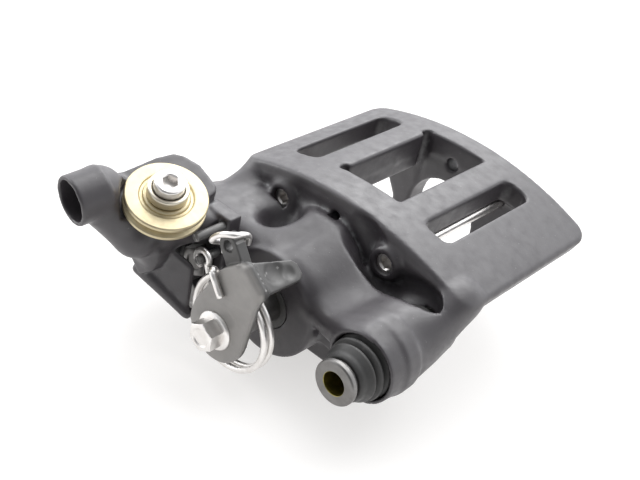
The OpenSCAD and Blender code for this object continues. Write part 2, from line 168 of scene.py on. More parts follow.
def egg(centre, radii):
    """An ellipsoid. Its distances are only right near its surface."""
    c, r = np.array(centre, float), np.array(radii, float)

    def dist(px, py, pz):
        offsets = (px - c[0], py - c[1], pz - c[2])
        scaled = np.sqrt(sum((v / radius) ** 2 for v, radius in zip(offsets, r)))
        slope = np.sqrt(sum((v / radius ** 2) ** 2 for v, radius in zip(offsets, r)))
        return scaled * (scaled - 1) / np.maximum(slope, 1e-6)

    return c - r, c + r, dist


def outline_distance(px, pz, points):
    """Distance to a closed outline in a plane, negative inside it."""
    pts = np.array(points, float)
    best = np.full(np.broadcast(px, pz).shape, 1e9)
    sign = np.ones(best.shape)
    for a, b in zip(pts, np.roll(pts, -1, axis=0)):
        run = b - a
        wx, wz = px - a[0], pz - a[1]
        t = np.clip((wx * run[0] + wz * run[1]) / (run @ run), 0, 1)
        best = np.minimum(best, (wx - run[0] * t) ** 2 + (wz - run[1] * t) ** 2)
        above, below = pz >= a[1], pz < b[1]
        left = run[0] * wz > run[1] * wx
        flips = (above & below & left) | (~above & ~below & ~left)
        sign = np.where(flips, -sign, sign)
    return sign * np.sqrt(best)


def plate(points, y0, y1, e=1.0, rounding=0.0):
    """A flat shape drawn in X and Z, thick along Y. Its outline's corners are rounded by rounding."""
    pts = np.array(points, float)

    def dist(px, py, pz):
        flat = outline_distance(px, pz, points) - rounding
        return corner(flat, np.abs(py - (y0 + y1) / 2) - (y1 - y0) / 2, e)

    (x0, z0), (x1, z1) = pts.min(0) - rounding, pts.max(0) + rounding
    return (x0, y0, z0), (x1, y1, z1), dist


def slab(points, z0, z1, e=1.0, rounding=0.0):
    """A flat shape drawn in X and Y, thick along Z."""
    return placed(plate(points, -z1, -z0, e, rounding), Matrix.Rotation(math.radians(-90), 4, "X"))


def placed(shape, matrix):
    """The same solid after a turn and a move."""
    low, high, dist = shape
    corners = [matrix @ Vector(point) for point in itertools.product(*zip(low, high))]
    back = np.array(matrix.inverted())

    def moved(px, py, pz):
        local = [back[i, 0] * px + back[i, 1] * py + back[i, 2] * pz + back[i, 3] for i in range(3)]
        return dist(*local)

    return np.min(corners, axis=0), np.max(corners, axis=0), moved


def along(points, count):
    """Points spread evenly along a line through the given ones."""
    pts = np.array(points, float)
    steps = np.linalg.norm(np.diff(pts, axis=0), axis=1)
    at = np.concatenate([[0], np.cumsum(steps)])
    where = np.linspace(0, at[-1], count)
    return np.stack([np.interp(where, at, pts[:, k]) for k in range(pts.shape[1])], axis=1)


FAR = 50.0  # distance from any solid, in an empty casting


class Casting:
    """Distances to a solid's surface on a block of points: negative inside it."""

    def __init__(self, low, high, cell):
        self.cell = cell
        self.low = np.array(low, float)
        counts = np.ceil((np.array(high, float) - self.low) / cell).astype(int) + 1
        self.grid = [self.low[k] + cell * np.arange(n) for k, n in enumerate(counts)]
        self.d = np.full(counts, FAR, np.float32)

    def _part(self, shape, margin):
        """The part of the block round a shape, and the shape's distances there."""
        low, high, dist = shape
        cuts = []
        for k, g in enumerate(self.grid):
            i0, i1 = np.searchsorted(g, [low[k] - margin, high[k] + margin])
            cuts.append(slice(max(i0, 0), min(i1, len(g))))
        x, y, z = np.ix_(*[g[c] for g, c in zip(self.grid, cuts)])
        return tuple(cuts), dist(x, y, z)

    def add(self, shape, k=2.0):
        """Adds a shape, with a fillet about k wide."""
        part, d = self._part(shape, k + 3 * self.cell)
        self.d[part] = melt(self.d[part], d, k)

    def cut(self, shape, k=1.0):
        """Takes a shape away, its mouth rounded by about k."""
        part, d = self._part(shape, k + 3 * self.cell)
        self.d[part] = -melt(-self.d[part], d, k)

    def fan(self, rail_a, rail_b, ra, rb, count, k=5.0):
        """A cast skin between two lines: round bars side by side, melted into each other."""
        for a, b in zip(along(rail_a, count), along(rail_b, count)):
            self.add(taper(a, b, ra, rb), k)

    def groove(self, points, r, count, k):
        """A round scoop that follows a line."""
        pts = along(points, count)
        for a, b in zip(pts[:-1], pts[1:]):
            self.cut(taper(a, b, r, r), k)

    def mesh(self, name):
        """The zero surface as a mesh in metres: one vertex in each cell that it crosses."""
        d, inside = self.d, self.d < 0
        cells = np.array(d.shape) - 1
        sums = np.zeros((int(np.prod(cells)), 3))
        count = np.zeros(len(sums), np.int32)
        quads = []
        for axis in range(3):
            lo = [slice(None)] * 3
            hi = [slice(None)] * 3
            lo[axis], hi[axis] = slice(0, -1), slice(1, None)
            lo, hi = tuple(lo), tuple(hi)
            at = np.argwhere(inside[lo] != inside[hi])
            other = [k for k in range(3) if k != axis]
            keep = np.all((at[:, other] > 0) & (at[:, other] < cells[other]), axis=1)
            at = at[keep]
            ends = at.copy()
            ends[:, axis] += 1
            d0, d1 = d[tuple(at.T)], d[tuple(ends.T)]
            point = at.astype(float)
            point[:, axis] += d0 / (d0 - d1)
            ring = []
            for u, v in ((0, 0), (-1, 0), (-1, -1), (0, -1)):
                cell = at.copy()
                cell[:, other[0]] += u
                cell[:, other[1]] += v
                flat = np.ravel_multi_index(tuple(cell.T), tuple(cells))
                for k in range(3):
                    sums[:, k] += np.bincount(flat, point[:, k], len(sums))
                count += np.bincount(flat, minlength=len(count)).astype(np.int32)
                ring.append(flat)
            ring = np.stack(ring, axis=1)
            outward = (d0 < 0) ^ (axis == 1)
            quads.append(np.where(outward[:, None], ring[:, ::-1], ring))
        used = np.flatnonzero(count)
        number = np.full(len(count), -1)
        number[used] = np.arange(len(used))
        points = (sums[used] / count[used, None]) * self.cell + self.low
        faces = number[np.concatenate(quads)]
        return mesh_object(name, points * MM, faces)


# ---------------------------------------------------------------- meshes
def mesh_object(name, points, faces):
    """A smooth-shaded object, its points in metres."""
    mesh = bpy.data.meshes.new(name)
    points, faces = np.asarray(points, np.float32), np.asarray(faces, np.int32)
    mesh.vertices.add(len(points))
    mesh.vertices.foreach_set("co", points.ravel())
    mesh.loops.add(faces.size)
    mesh.loops.foreach_set("vertex_index", faces.ravel())
    mesh.polygons.add(len(faces))
    mesh.polygons.foreach_set("loop_start", np.arange(0, faces.size, faces.shape[1], dtype=np.int32))
    mesh.update(calc_edges=True)
    mesh.validate()
    mesh.shade_smooth()
    obj = bpy.data.objects.new(name, mesh)
    bpy.context.scene.collection.objects.link(obj)
    return obj


ROUND = 96  # sides of a turned piece
SHARP = math.radians(35)  # an edge that turns more than this stays sharp


def hexagon(across):
    """Radius of a hexagon in each direction round a turned piece."""
    turn = np.arange(ROUND) * 2 * math.pi / ROUND
    sixth = math.pi / 3
    return across / 2 / np.cos((turn + sixth / 2) % sixth - sixth / 2)


def eased(profile, e, closed=False):
    """A profile of (radius, height) with each corner turned into a small arc."""
    pts = [np.array(p, float) for p in profile]
    n, out = len(pts), []
    for i, p in enumerate(pts):
        if not closed and i in (0, n - 1):
            out.append(p)
            continue
        a, b = pts[i - 1], pts[(i + 1) % n]
        la, lb = np.linalg.norm(a - p), np.linalg.norm(b - p)
        cut = min(e, 0.42 * la, 0.42 * lb)
        u, v = p + (a - p) / la * cut, p + (b - p) / lb * cut
        for t in (0, 0.25, 0.5, 0.75, 1):
            out.append((1 - t) ** 2 * u + 2 * t * (1 - t) * p + t * t * v)
    return [tuple(p) for p in out]


def turned(name, rings, closed=False):
    """A piece turned about its own Z: each ring is a radius and a height, or one of each per direction."""
    turn = np.arange(ROUND) * 2 * math.pi / ROUND
    points = []
    for r, z in rings:
        r, z = np.broadcast_to(r, ROUND), np.broadcast_to(z, ROUND)
        points.append(np.stack([r * np.cos(turn), r * np.sin(turn), z], axis=1))
    k = np.arange(ROUND)
    nxt = (k + 1) % ROUND
    faces = []
    for i in range(len(rings) if closed else len(rings) - 1):
        j = (i + 1) % len(rings)
        faces.append(np.stack([i * ROUND + k, i * ROUND + nxt, j * ROUND + nxt, j * ROUND + k], axis=1))
    obj = mesh_object(name, np.concatenate(points) * MM, np.concatenate(faces))
    bm = bmesh.new()
    bm.from_mesh(obj.data)
    bmesh.ops.remove_doubles(bm, verts=bm.verts, dist=1e-6)
    bmesh.ops.recalc_face_normals(bm, faces=bm.faces)
    bm.to_mesh(obj.data)
    bm.free()
    obj.data.shade_smooth()
    obj.data.set_sharp_from_angle(angle=SHARP)
    return obj


def along_y(x, z):
    """Where a turned piece goes whose axis runs outboard."""
    return Matrix.Translation((x * MM, 0, z * MM)) @ Matrix.Rotation(math.radians(-90), 4, "X")


def pulley_frame(unit=MM):
    """Where the pulley's own frame lies: its axis is Z, and its top face is at zero."""
    about_x, about_y = (math.radians(turn) for turn in PULLEY_TILT)
    tilt = Matrix.Rotation(about_y, 4, "Y") @ Matrix.Rotation(about_x, 4, "X")
    return Matrix.Translation([c * unit for c in PULLEY_AT]) @ tilt


def curve_through(points, per_span):
    """A smooth line through the points."""
    p = np.array(points, float)
    p = np.vstack([2 * p[0] - p[1], p, 2 * p[-1] - p[-2]])
    out = []
    for i in range(1, len(p) - 2):
        for t in np.arange(per_span) / per_span:
            a, b, c, d = p[i - 1 : i + 3]
            bend = (2 * a - 5 * b + 4 * c - d) * t * t + (3 * b - a - 3 * c + d) * t ** 3
            out.append(0.5 * (2 * b + (c - a) * t + bend))
    return np.array(out + [p[-2]])


def wire(name, points, r, per_span):
    """A bent round wire, its ends cut and slightly eased."""
    sides = 20
    line = curve_through(points, per_span)
    ahead = np.gradient(line, axis=0)
    ahead /= np.linalg.norm(ahead, axis=1)[:, None]
    side = np.cross(ahead[0], (0.3, 0.9, 0.3))
    turn = np.arange(sides) * 2 * math.pi / sides
    rings = []
    for i, (p, t) in enumerate(zip(line, ahead)):
        side = side - t * (side @ t)
        side /= np.linalg.norm(side)
        up = np.cross(t, side)
        ring = np.outer(np.cos(turn), side) + np.outer(np.sin(turn), up)
        if i == 0:
            rings += [p + ring * r * f for f in (0.02, 0.86)]
            rings.append(p + t * r * 0.14 + ring * r)
        elif i == len(line) - 1:
            rings.append(p - t * r * 0.14 + ring * r)
            rings += [p + ring * r * f for f in (0.86, 0.02)]
        else:
            rings.append(p + ring * r)
    k = np.arange(sides)
    nxt = (k + 1) % sides
    starts = sides * np.arange(len(rings) - 1)
    faces = [np.stack([i + k, i + nxt, i + sides + nxt, i + sides + k], axis=1) for i in starts]
    return mesh_object(name, np.concatenate(rings) * MM, np.concatenate(faces))


# ---------------------------------------------------------------- materials
class Look:
    """A material's nodes, built on one Principled shader."""

    def __init__(self, name, **values):
        self.material = bpy.data.materials.new(name)
        self.material.use_nodes = True
        self.nodes = self.material.node_tree.nodes
        self.links = self.material.node_tree.links
        self.shader = self.nodes["Principled BSDF"]
        for socket, value in values.items():
            self.shader.inputs[socket.replace("_", " ")].default_value = value
        self.place = self.nodes.new("ShaderNodeTexCoord").outputs["Object"]

    def node(self, kind, inputs, **settings):
        """A new node, each of its inputs set to a value or linked to a socket."""
        n = self.nodes.new("ShaderNode" + kind)
        for key, value in settings.items():
            setattr(n, key, value)
        for key, value in inputs.items():
            if isinstance(value, bpy.types.NodeSocket):
                self.links.new(value, n.inputs[key])
            else:
                n.inputs[key].default_value = value
        return n

    def noise(self, size_mm, detail=3.0, roughness=0.55):
        """Soft spots about size_mm across."""
        inputs = {"Vector": self.place, "Scale": 1 / (size_mm * MM), "Detail": detail, "Roughness": roughness}
        return self.node("TexNoise", inputs).outputs["Fac"]

    def span(self, value, low, high, to_low=0.0, to_high=1.0):
        """A value from low to high turned into one from to_low to to_high."""
        inputs = {"Value": value, "From Min": low, "From Max": high, "To Min": to_low, "To Max": to_high}
        return self.node("MapRange", inputs).outputs["Result"]

    def mix(self, share, a, b):
        """Colour a, turned into colour b by share."""
        n = self.node("Mix", {}, data_type="RGBA")
        for socket, value in ((n.inputs[0], share), (n.inputs[6], a), (n.inputs[7], b)):
            if isinstance(value, bpy.types.NodeSocket):
                self.links.new(value, socket)
            else:
                socket.default_value = value
        return n.outputs[2]

    def maths(self, operation, a, b):
        """Two values or sockets put together."""
        return self.node("Math", {0: a, 1: b}, operation=operation).outputs[0]

    def colour(self, value):
        self.links.new(value, self.shader.inputs["Base Color"])

    def roughness(self, value):
        self.links.new(value, self.shader.inputs["Roughness"])

    def bump(self, height, distance_mm, strength=1.0):
        """Relief on top of any that the material has."""
        n = self.node("Bump", {"Height": height, "Distance": distance_mm * MM, "Strength": strength})
        if self.shader.inputs["Normal"].is_linked:
            self.links.new(self.shader.inputs["Normal"].links[0].from_socket, n.inputs["Normal"])
        self.links.new(n.outputs["Normal"], self.shader.inputs["Normal"])

    def edges(self, low=0.505, high=0.53):
        """1 on outside edges, from the mesh's own curvature."""
        edge_curvature = self.node("NewGeometry", {}).outputs["Pointiness"]
        return self.span(edge_curvature, low, high)


def grey(level, warmth=0.0):
    """A grey, a little warm or, below zero, a little cool."""
    return (level * (1 + warmth), level, level * (1 - warmth), 1)


def cast_paint():
    """Satin black paint over an iron casting: its skin, lighter edges that are partly rubbed paint and partly
    a painted highlight, dust and scuffs.
    """
    look = Look("cast_black", Specular_IOR_Level=0.8)
    base = look.mix(look.noise(14, 4), (0.030, 0.026, 0.030, 1), (0.044, 0.039, 0.044, 1))
    # Rounded edges are lightened: partly rubbed paint, partly a painted highlight along them.
    rubbed_and_highlit_edges = look.maths("MULTIPLY", look.edges(), look.span(look.noise(3.2, 5), 0.42, 0.62))
    base = look.mix(look.maths("MULTIPLY", rubbed_and_highlit_edges, 0.55), base, grey(0.17, -0.02))
    specks = look.span(look.noise(1.1, 2), 0.72, 0.76)
    base = look.mix(look.maths("MULTIPLY", specks, 0.35), base, grey(0.24, 0.03))
    look.colour(base)
    look.roughness(look.span(look.noise(5, 4), 0.3, 0.7, 0.34, 0.52))
    look.bump(look.noise(9, 3), 0.35, 0.35)
    look.bump(look.noise(0.7, 4, 0.6), 0.06, 0.5)
    return look.material


def lever_paint():
    """Grey phosphated steel, lighter on its front plate: the fold and the arm behind it are darkened as
    painted shade, and its edges lightened as rubbed paint and painted highlight.
    """
    look = Look("lever_black", Metallic=0.25, Specular_IOR_Level=0.6)
    base = look.mix(look.noise(6, 4), grey(0.23, 0.03), grey(0.30, 0.045))
    outboard = look.node("SeparateXYZ", {0: look.place}).outputs["Y"]
    # Painted shade: everything outboard of the front plate, the fold and the arm, is made much darker.
    base = look.mix(look.span(outboard, -77 * MM, -75.6 * MM), base, grey(0.075, 0.02))
    # Edges are lightened: partly rubbed paint, partly a painted highlight along them.
    rubbed_and_highlit_edges = look.maths("MULTIPLY", look.edges(0.51, 0.56), 0.6)
    look.colour(look.mix(rubbed_and_highlit_edges, base, grey(0.33, 0.02)))
    look.roughness(look.span(look.noise(2.5, 4), 0.3, 0.7, 0.36, 0.5))
    look.bump(look.noise(0.5, 3), 0.03, 0.4)
    return look.material


def plated(name, light, dark, rough=(0.28, 0.42)):
    """A plated or bare metal with small stains and a fine grain."""
    look = Look(name, Metallic=1.0)
    look.colour(look.mix(look.span(look.noise(6, 3), 0.3, 0.8), light, dark))
    look.roughness(look.span(look.noise(1.4, 4), 0.3, 0.7, rough[0], rough[1]))
    look.bump(look.noise(0.35, 3), 0.02, 0.35)
    return look


def ringed(name, light, dark, pitch_mm, rough=(0.22, 0.36)):
    """A turned metal: fine rings left by the tool, about the piece's own Z."""
    look = plated(name, light, dark, rough)
    scale = 1 / (pitch_mm * MM) / 6.283
    inputs = {"Vector": look.place, "Scale": scale, "Distortion": 0.6, "Detail": 2.0, "Detail Scale": 3.0}
    rings = look.node("TexWave", inputs, wave_type="RINGS", rings_direction="Z")
    look.bump(rings.outputs["Fac"], 0.012, 0.5)
    return look.material


def rubber_skin():
    """Moulded black rubber with a little dust on its edges."""
    look = Look("rubber", Specular_IOR_Level=0.45)
    base = look.mix(look.noise(7, 4), grey(0.026), grey(0.045, 0.02))
    dust = look.maths("MULTIPLY", look.edges(0.505, 0.56), 0.25)
    look.colour(look.mix(dust, base, grey(0.12, 0.03)))
    look.roughness(look.span(look.noise(3, 3), 0.3, 0.7, 0.38, 0.6))
    look.bump(look.noise(0.6, 3), 0.03, 0.4)
    return look.material


MATERIALS = {
    "cast_black": cast_paint(),
    "lever_black": lever_paint(),
    "zinc_steel": plated("zinc_steel", grey(0.86, 0.02), grey(0.70, 0.04)).material,
    "yellow_zinc": ringed("yellow_zinc", (0.60, 0.53, 0.36, 1), (0.50, 0.43, 0.28, 1), 0.5, (0.40, 0.5)),
    "pale_zinc": ringed("pale_zinc", (0.72, 0.68, 0.58, 1), (0.62, 0.57, 0.47, 1), 0.4, (0.3, 0.4)),
    "machined_steel": ringed("machined_steel", grey(0.22, 0.02), grey(0.15, 0.04), 0.6, (0.34, 0.5)),
    "piston_plate": ringed("piston_plate", grey(0.62), grey(0.48, 0.02), 0.8, (0.16, 0.28)),
    "rubber": rubber_skin(),
    "passivated": plated("passivated", (0.42, 0.36, 0.10, 1), (0.22, 0.20, 0.07, 1), (0.28, 0.45)).material,
}


def settle(obj, body, slot, *nodes, material=None, at=None):
    """Finishes a piece: its place, its material, the body it rides on and the CAD nodes it stands for."""
    if at is not None:
        obj.matrix_world = at
    obj.data.materials.append(MATERIALS[material or slot])
    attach(obj, body)
    if nodes:
        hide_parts(*nodes)
    return obj


# ---------------------------------------------------------------- the housing's casting
def bridge_arch():
    """The curved bridge over the disc, between its two ends."""
    outer, inner = BRIDGE_R, BRIDGE_R - BRIDGE_T
    y0, y1 = WALL_Y[0], FINGER_Y[1]

    def dist(px, py, pz):
        up = pz - DISC_Z
        radial = np.hypot(px, up)
        left = -math.cos(BRIDGE_LEFT) * px - math.sin(BRIDGE_LEFT) * up
        right = math.cos(BRIDGE_RIGHT) * px - math.sin(BRIDGE_RIGHT) * up
        shell = corner(radial - outer, inner - radial, 1.2)
        plan = corner(np.maximum(left, right), np.abs(py - (y0 + y1) / 2) - (y1 - y0) / 2, 8)
        return corner(shell, plan, 2.2)

    return (-62, y0, 45), (76, y1, 73), dist


def housing_masses(c):
    """The bridge and its two legs, the ribs beside the window, the cylinder and the foot."""
    c.add(bridge_arch())
    wall = [(-55, 50), (-56, 58), (-30, 65), (0, 68), (30, 65), (55, 59), (69, 53), (69, 49), (46, 47),
            (32, 34), (-32, 34), (-46, 47)]
    c.add(plate(wall, WALL_Y[0], WALL_Y[1], 2.0, 0.5), 3)
    for side in (-1, 1):
        inner, outer = sorted((side * LONG_WINDOW[0][1], side * 25))
        c.add(block((inner, 6, 52), (outer, 81, 64)), 2.5)
    leg = [(-57, 58), (-54, 48), (-36, 36), (-30, 26), (-28, 3), (-25, 0.5), (-20, 0.5), (-15, 3), (-15, 40),
           (15, 40), (15, 3), (20, 0.5), (25, 0.5), (28, 3), (30, 26), (36, 36), (60, 48.5), (67, 55),
           (50, 62), (0, 68), (-40, 64)]
    c.add(plate(leg, FINGER_Y[0], FINGER_Y[1], 1.8), 3)
    c.add(drum(0, AXIS_Z, CYLINDER_R, CYLINDER_FRONT, WALL_Y[1], e=2.0), 5)
    c.add(block((-FOOT_HALF, -26, 0), (FOOT_HALF, 4, 20), 1.5), 3)


def right_side(c):
    """The right lug with its web, the apron that falls from the wall to it and the wing beside it."""
    x, z = GUIDE
    c.add(drum(x, z, 17.4, -44, -4, 13, e=1.5), 3)
    c.add(drum(x, z, 16.2, -54, -36, 17.2, e=0.8), 2)
    web = [(8, 10), (22, 32), (30, 37.5), (38.6, 36.5), (46, 34), (46, 24), (36, 20.5), (26, 22), (18, 18),
           (12, 10)]
    c.add(plate(web, -40, -16, 1.2), 2)
    c.add(plate([(18, 20), (20, 41), (57, 44), (57, 22), (30, 24)], -38, -14, 1.5), 3)
    ridge = [(2, -17, 56.5), (14, -19, 53), (24, -22, 48.5), (31, -25, 45.3), (42, -26, 44), (51, -27, 47.5),
             (60, -26, 48)]
    lip = [(4, -38, 50), (14, -39, 46), (22, -40, 39.8), (30, -42, 39.2), (38, -44.5, 40), (47, -48, 44),
           (56, -49, 47)]
    c.fan(ridge, lip, 5, 5, 26, 5)
    c.add(block((22, -17, 29), (66, -5, 50), 3), 3)
    c.fan([(59.5, -42, 35), (58, -18, 37)], [(64, -6, 51), (64, 2, 51.5)], 10.5, 6.5, 8, 5)


def left_side(c):
    """The left lug with its web, and the apron between it, the cylinder and the wall."""
    c.add(drum(-GUIDE[0], GUIDE[1], LUG_R, LUG_FRONT, LUG_BACK, 12.9, e=2), 3)
    c.add(plate([(-20, 22), (-20, 44), (-54, 47), (-54, 26), (-34, 26)], -42, LUG_BACK, 1.5), 3)
    back = [(-2, -17, 56.5), (-16, -18, 53), (-30, -18, 47.5), (-43, -17, 50), (-51, -17, 48)]
    lip = [(-6, -38, 50), (-16, -38.5, 48), (-30, -38, 47.5), (-44, -37.5, 48), (-53, -37, 48)]
    c.fan(back, lip, 5, 5, 22, 5)
    c.add(block((-22, -17, 45), (8, -8, 60), 3), 5)
    c.add(block((-46, -16, 44), (-22, -8, 54), 3), 5)
    c.fan([(-53, -36, 38), (-50, -18, 40)], [(-51, -8, 54), (-51, 2, 54)], 8, 5.5, 8, 5)


def pin_bosses(c):
    """The scoops in the wall, and the boss left standing in each for a pad pin."""
    px, pz = PAD_PIN
    scoop = [(15, -15.5, 67), (24, -15, 60), (31, -15, 52), (38, -15.5, 48), (50, -15.5, 52), (59, -15, 50.5),
             (62, -15.5, 47.5)]
    c.groove(scoop, 5.6, 24, 4)
    c.cut(egg((35, -16, 46), (8, 7.5, 8)), 3)
    c.cut(egg((-20.4, -22.6, 59.6), (8.6, 11, 14)), 6)
    for side in (-1, 1):
        c.add(drum(side * px, pz, 7.6, WALL_Y[0] - 2.5, WALL_Y[0] + 3, 8.6, e=1.4), 3)


def housing_openings(c):
    """The window over the pads with its two relief holes, the slots, and the gap between the fingers."""
    (x0, x1), (y0, y1) = LONG_WINDOW
    c.cut(block((x0, y0, 40), (x1, y1, 80), 1.0), 1.2)
    for y in (y0 + 2, y1 - 2):
        relief = Matrix.Translation((x0, y, 60)) @ Matrix.Rotation(math.radians(90), 4, "X")
        c.cut(placed(drum(0, 0, 2.8, -20, 20), relief), 0.8)
    (inner, outer), (y0, y1) = SLOT
    for x0, x1 in ((inner, outer), (-outer, -inner)):
        c.cut(block((x0, y0, 40), (x1, y1, 80), 4.6), 1.2)
    c.cut(drum(0, AXIS_Z, FINGER_GAP_R, 74, 96), 1.0)
    c.cut(block((-FINGER_GAP_R, 74, -6), (FINGER_GAP_R, 96, AXIS_Z), 0.5), 1.0)


def housing_bores(c):
    """The turned and drilled holes, which have crisp edges."""
    sharp = 0.5
    # The cylinder, its boot's seat, the shaft's seal and the shaft
    for r, y0, y1 in ((19.1, -36, 10), (22.5, 4, 10), (11.5, -50, -44), (8.05, -46, -34)):
        c.cut(drum(0, AXIS_Z, r, y0, y1), sharp)
    for side in (-1, 1):
        c.cut(drum(side * GUIDE[0], GUIDE[1], BUSH_R, -60, -13.4), sharp)
        c.cut(drum(side * GUIDE[0], GUIDE[1], 8.7, -20, 12), sharp)
        c.cut(drum(side * PAD_PIN[0], PAD_PIN[1], 4.7, -15, -2), sharp)
        c.cut(drum(side * PAD_PIN[0], PAD_PIN[1], 2.3, -4, 89), sharp)
    c.cut(drum(*GUIDE, 14.8, -58, LUG_FRONT), sharp)
    # The two small holes in the middle of the wall and of the outboard leg
    c.cut(drum(0, 62, 2.4, -14, 10), sharp)
    c.cut(drum(0, 60, 3.4, 76, 96), sharp)
    for x, z in BRACKET_BOLTS:
        c.cut(drum(x, z, 4, -52, -28), sharp)
    c.cut(bar_x(*PORT, 4.75, -32, -14), sharp)


def caliper_housing():
    """The whole casting: its masses first, then the scoops, the openings and the bores."""
    c = Casting((-78, -57, -3), (78, 96, 75), 0.95)
    housing_masses(c)
    right_side(c)
    left_side(c)
    pin_bosses(c)
    for x, z in BRACKET_BOLTS:
        c.add(drum(x, z, 7.5, CYLINDER_FRONT, -24), 2)
    c.add(bar_x(*PORT, 7.5, -28, -20), 2)
    c.add(bar_x(*BLEED, 6, -26, -20), 2)
    housing_openings(c)
    housing_bores(c)
    # The bridge's right end is planed flat
    c.cut(block((RIGHT_END, -60, -10), (90, 100, 90), 0.2), 0.4)
    settle(c.mesh("housing_casting"), "housing", "cast_black", "caliper_housing")


# ---------------------------------------------------------------- the cable bracket's casting
def cable_bracket():
    """The plate and boss over which the pulley turns, the casing's tube, and the arms down to the foot."""
    turn = pulley_frame(unit=1)
    lay = turn @ Matrix.Rotation(math.radians(-90), 4, "X")
    casing = turn @ Matrix.Translation(CASING_AT) @ Matrix.Rotation(math.radians(CASING_TURN), 4, "Z")
    c = Casting((-74, -114, 12), (-14, -45, 94), 0.7)

    def at(*point):
        return tuple(turn @ Vector(point))

    # The plate under the pulley, its boss, and the tube that holds the cable's casing
    top = [(-24.4, -13.6), (-23.4, 2), (-22.9, 13.8), (-21, 21.6), (-17.7, 24.7), (-10.8, 27.4), (-4, 27),
           (1.8, 26.4), (3.8, 24.6), (5.9, 16), (8.4, 0), (5.5, -8.6), (-8, -15.4), (-17.8, -19.4)]
    c.add(placed(plate(top, 8.4, 20, 1.3, 0.6), lay))
    c.add(placed(drum(0, 0, 9.5, 8.6, 29), lay), 1.5)
    c.add(placed(drum(0, 0, 10.75, 0, 15, e=1.0), casing), 1)
    # The neck from the tube to the plate, and the arms from the boss to the foot and to the block
    c.fan([at(-18, -20, -5)] * 2, [at(-22, -9, -14), at(-9, -8, -15)], 9.3, 6, 6, 3)
    c.fan([at(-17, -22, -7)] * 2, [at(-9, -13, -19), at(-2, -10, -23)], 7.6, 8, 5, 3)
    c.add(taper(at(-9, -13, -19), at(-2, -10, -23), 8, 8.5), 3)
    c.fan([at(0, 1, -22), at(-3, 1, -23)], [(-28, -53, 58), (-35.5, -53, 54.6)], 8.3, 4.4, 6, 4)
    c.fan([at(-2, -10, -23), at(-2, -2, -23)], [(-50, -77.5, 45), (-40.5, -77.5, 45)], 8.3, 4.4, 7, 4)
    lump = [(-54, 41.2), (-45, 32.8), (-38.6, 38.2), (-35.6, 49.4), (-49.8, 49.4)]
    c.add(plate(lump, -82, -73, 1.8, 0.6), 3)
    foot = [(-40.4, 12.6), (-26.4, 12.6), (-26.4, 30), (-21.6, 40), (-21.6, 63.4), (-36, 63.4), (-40.4, 58)]
    c.add(plate(foot, *BRACKET_Y, 1.2, 0.6), 1.5)
    # The strap from the block to the foot, and the thin web above it
    strap_ends = [(-48.8, -78.8, 32.2), (-45.2, -76.2, 32.2)], [(-26.2, -70.6, 19.2), (-24.4, -70.4, 19.2)]
    c.fan(*strap_ends, 2.3, 1.6, 5, 1.5)
    c.add(block((-28, -72, 17.5), (-22.6, -50, 20.7), 0.9), 1)
    c.fan([(-47, -76.5, 33.5), (-26, -70, 20.5)], [(-40, -75, 49), (-27, -68.5, 41)], 1.3, 1.3, 15, 1.5)
    # The casing's socket with its step and the cable's hole, the screw's hole, and room for the pulley
    c.cut(placed(drum(0, 0, 9, -4, 12), casing), 0.6)
    c.cut(placed(drum(0, 0, 7.4, 10, 13.5), casing), 0.4)
    c.cut(placed(drum(0, 0, 3, 12, 60), casing), 0.4)
    c.cut(placed(drum(0, 0, 4.05, 0, 28), lay), 0.4)
    c.cut(placed(drum(0, 0, 19, -12, 8.4), lay), 0.6)
    # Room for the left guide's sleeve and boot, the bolts' heads and the stop pin
    for r, y0 in ((11.5, -71.2), (15.5, -66)):
        c.cut(drum(-GUIDE[0], GUIDE[1], r, y0, -44), 0.6)
    for x, z in BRACKET_BOLTS:
        c.cut(drum(x, z, 4.2, -60, -44), 0.5)
        c.cut(drum(x, z, 8, -67.9, BRACKET_Y[0]), 0.5)
    c.cut(drum(*STOP_PIN, 3.2, -76, BRACKET_Y[0]), 0.5)
    settle(c.mesh("bracket_casting"), "housing", "cast_black", "cable_bracket")


# ---------------------------------------------------------------- the handbrake lever
def past_bend(y, z, e):
    """Everything outside a rounded bend at height z over a plate whose front is at y."""

    def dist(px, py, pz):
        return -corner(y - py, pz - z, e)

    return (-24, y - 3, z - e), (6, y + e, z + 6), dist


